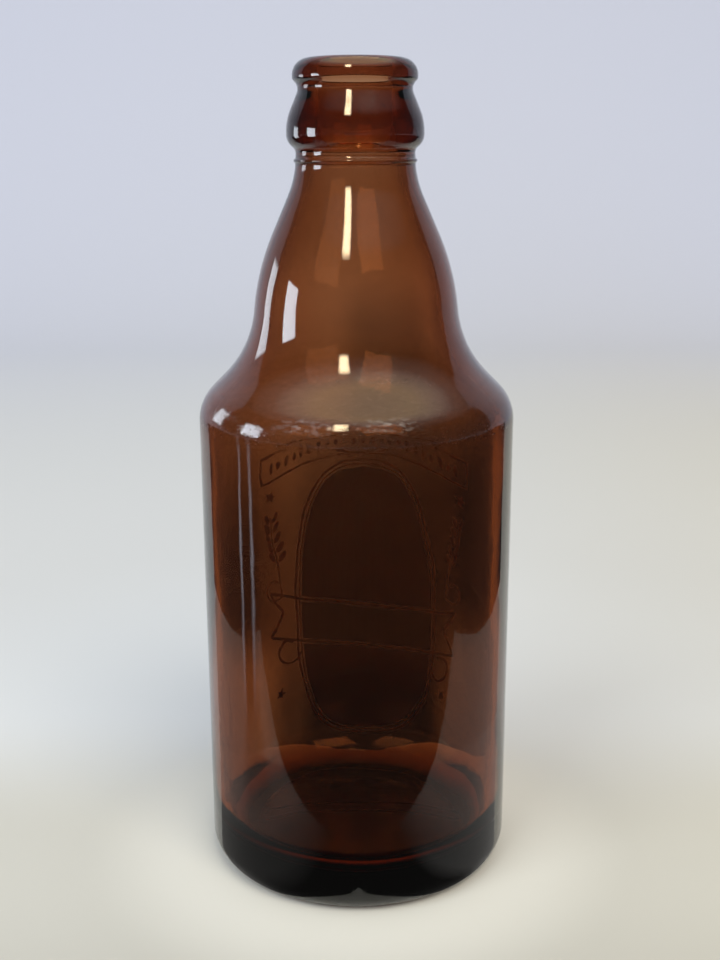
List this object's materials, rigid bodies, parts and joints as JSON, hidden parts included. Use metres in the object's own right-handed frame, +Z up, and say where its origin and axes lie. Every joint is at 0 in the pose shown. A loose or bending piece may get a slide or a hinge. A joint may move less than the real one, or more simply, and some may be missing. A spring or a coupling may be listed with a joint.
{
  "type": "beer bottle",
  "caption": "Short-necked amber glass beer bottle, empty and open, with a crown-cap lip, sloping shoulder and straight body.",
  "frame": {"origin": "centre of the circle that the bottle stands on", "axes": "+Z up along the bottle's axis, towards the mouth; -Y towards the viewer, with the enamel print on the +Y side"},
  "size_m": [0.0696, 0.0696, 0.18],
  "materials": {
    "amber_glass": "clear amber glass, glossy, slightly wavy where it was blown, lightly scuffed on the heel and shoulder",
    "enamel": "fired ceramic enamel print on the back of the body, cream and oxblood, thin, satin, a little worn"
  },
  "bodies": {
    "root": {"bottle": "amber_glass"}
  },
  "joints": []
}
